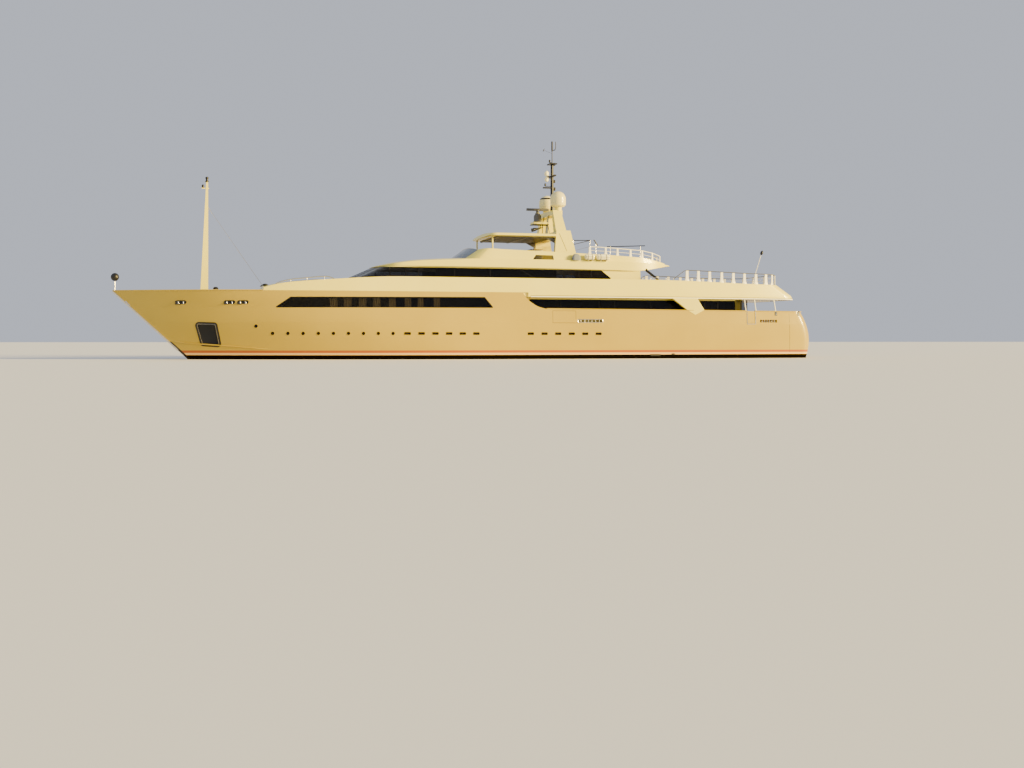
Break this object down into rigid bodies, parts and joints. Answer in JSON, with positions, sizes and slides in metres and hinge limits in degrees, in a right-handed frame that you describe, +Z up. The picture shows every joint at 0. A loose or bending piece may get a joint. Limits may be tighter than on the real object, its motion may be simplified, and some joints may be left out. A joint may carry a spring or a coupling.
{
  "type": "motor yacht, 1:2 scale model",
  "caption": "Displacement motor yacht with raised foredeck, side decks, bridge house, sun deck with hardtop, mast arch with domes, foremast, propellers, rudders and fins.",
  "frame": {"origin": "midships on the centreline at the waterline, the mount waterline", "axes": "+X to the bow, +Y to port, +Z up"},
  "size_m": [29.7788, 5.25, 11.125],
  "materials": {
    "topside": "warm sand gloss paint, black boot-top with a pale and a rust red stripe above it",
    "cream_paint": "cream gloss paint",
    "dark_glass": "nearly black tinted glass",
    "tinted_screen": "grey-blue tinted screen",
    "white_gelcoat": "warm white gloss",
    "teak": "oiled teak planks with black caulking",
    "stainless": "polished stainless steel",
    "black_paint": "satin black paint",
    "bronze": "cast and ground bronze",
    "antifouling": "matt black antifouling",
    "cushion": "sand outdoor fabric"
  },
  "bodies": {
    "yacht": {"hull": "topside", "hull_window_port": "dark_glass", "hull_window_starboard": "dark_glass", "fashion_plate_port": "cream_paint", "fashion_plate_starboard": "cream_paint", "saloon_house": "cream_paint", "saloon_window_port": "dark_glass", "saloon_window_starboard": "dark_glass", "upper_deck": "cream_paint", "coachroof": "cream_paint", "bridge_house": "cream_paint", "bridge_glass": "dark_glass", "sun_deck": "cream_paint", "sun_deck_windscreen": "tinted_screen", "hardtop": "cream_paint", "mast_arch": "cream_paint", "dome_port": "white_gelcoat", "dome_starboard": "white_gelcoat", "pole_mast": "black_paint", "foremast": "white_gelcoat", "forestay": "stainless", "jackstaff": "stainless", "day_ball": "black_paint", "main_deck_teak": "teak", "fore_deck_teak": "teak", "upper_deck_teak": "teak", "sun_deck_teak": "teak", "shaft_bracket_port": "bronze", "shaft_bracket_starboard": "bronze", "anchor_starboard": "stainless", "windlass_port": "white_gelcoat", "windlass_starboard": "white_gelcoat", "upper_deck_rail": "white_gelcoat", "sun_deck_rail": "stainless", "coachroof_rail_port": "stainless", "coachroof_rail_starboard": "stainless", "ensign_staff": "white_gelcoat", "upper_deck_table": "teak", "upper_deck_sofa": "cushion", "main_deck_sofa": "cushion", "sun_deck_sunpad": "cushion", "sun_deck_bar": "white_gelcoat"},
    "propeller_port": {"propeller_port": "bronze", "shaft_port": "stainless"},
    "propeller_starboard": {"propeller_starboard": "bronze", "shaft_starboard": "stainless"},
    "rudder_port": {"rudder_port": "antifouling"},
    "rudder_starboard": {"rudder_starboard": "antifouling"},
    "fin_port": {"fin_port": "antifouling"},
    "fin_starboard": {"fin_starboard": "antifouling"},
    "radar_scanner": {"radar_scanner": "white_gelcoat"},
    "saloon_door_port": {"saloon_door_port": "dark_glass"},
    "saloon_door_starboard": {"saloon_door_starboard": "dark_glass"},
    "lounge_door_port": {"lounge_door_port": "dark_glass"},
    "lounge_door_starboard": {"lounge_door_starboard": "dark_glass"},
    "boarding_gate_port": {"boarding_gate_port": "topside"},
    "boarding_gate_starboard": {"boarding_gate_starboard": "topside"},
    "transom_door": {"transom_door": "topside"},
    "windlass_drum_port": {"windlass_drum_port": "stainless"},
    "windlass_drum_starboard": {"windlass_drum_starboard": "stainless"}
  },
  "joints": [
    {"name": "propeller_port", "type": "hinge", "parent": "yacht", "child": "propeller_port", "pos_m": [-12.305, 1.1, -1.21], "axis": [1, 0, 0], "continuous": true},
    {"name": "propeller_starboard", "type": "hinge", "parent": "yacht", "child": "propeller_starboard", "pos_m": [-12.305, -1.1, -1.21], "axis": [1, 0, 0], "continuous": true},
    {"name": "rudder_port", "type": "hinge", "parent": "yacht", "child": "rudder_port", "pos_m": [-13.375, 1.1, -1], "axis": [0, 0, 1], "range_deg": [-35, 35]},
    {"name": "rudder_starboard", "type": "hinge", "parent": "yacht", "child": "rudder_starboard", "pos_m": [-13.375, -1.1, -1], "axis": [0, 0, 1], "range_deg": [-35, 35]},
    {"name": "fin_port", "type": "hinge", "parent": "yacht", "child": "fin_port", "pos_m": [-0.8, 1.93, -1], "axis": [0, 0.7071, -0.7071], "range_deg": [-20, 20]},
    {"name": "fin_starboard", "type": "hinge", "parent": "yacht", "child": "fin_starboard", "pos_m": [-0.8, -1.93, -1], "axis": [0, -0.7071, -0.7071], "range_deg": [-20, 20]},
    {"name": "radar_scanner", "type": "hinge", "parent": "yacht", "child": "radar_scanner", "pos_m": [-2.7, 0, 6.4], "axis": [0, 0, 1], "continuous": true},
    {"name": "saloon_door_port", "type": "slide", "parent": "yacht", "child": "saloon_door_port", "axis": [0, 1, 0], "range_m": [0, 0.8]},
    {"name": "saloon_door_starboard", "type": "slide", "parent": "yacht", "child": "saloon_door_starboard", "axis": [0, -1, 0], "range_m": [0, 0.8]},
    {"name": "lounge_door_port", "type": "slide", "parent": "yacht", "child": "lounge_door_port", "axis": [0, 1, 0], "range_m": [0, 0.75]},
    {"name": "lounge_door_starboard", "type": "slide", "parent": "yacht", "child": "lounge_door_starboard", "axis": [0, -1, 0], "range_m": [0, 0.75]},
    {"name": "boarding_gate_port", "type": "hinge", "parent": "yacht", "child": "boarding_gate_port", "pos_m": [-11.81, 2.3875, 1.5], "axis": [0, 0, -1], "range_deg": [0, 90]},
    {"name": "boarding_gate_starboard", "type": "hinge", "parent": "yacht", "child": "boarding_gate_starboard", "pos_m": [-11.81, -2.3875, 1.5], "axis": [0, 0, 1], "range_deg": [0, 90]},
    {"name": "transom_door", "type": "hinge", "parent": "yacht", "child": "transom_door", "pos_m": [-14.765, 0, 0.38], "axis": [0, -1, 0], "range_deg": [0, 90]},
    {"name": "windlass_drum_port", "type": "hinge", "parent": "yacht", "child": "windlass_drum_port", "pos_m": [12.3, 0.48, 2.3304], "axis": [0, 1, 0], "continuous": true},
    {"name": "windlass_drum_starboard", "type": "hinge", "parent": "yacht", "child": "windlass_drum_starboard", "pos_m": [12.3, -0.48, 2.3304], "axis": [0, 1, 0], "continuous": true}
  ],
  "couplings": [
    {"joint": "rudder_starboard", "follows": "rudder_port", "ratio": 1}
  ]
}
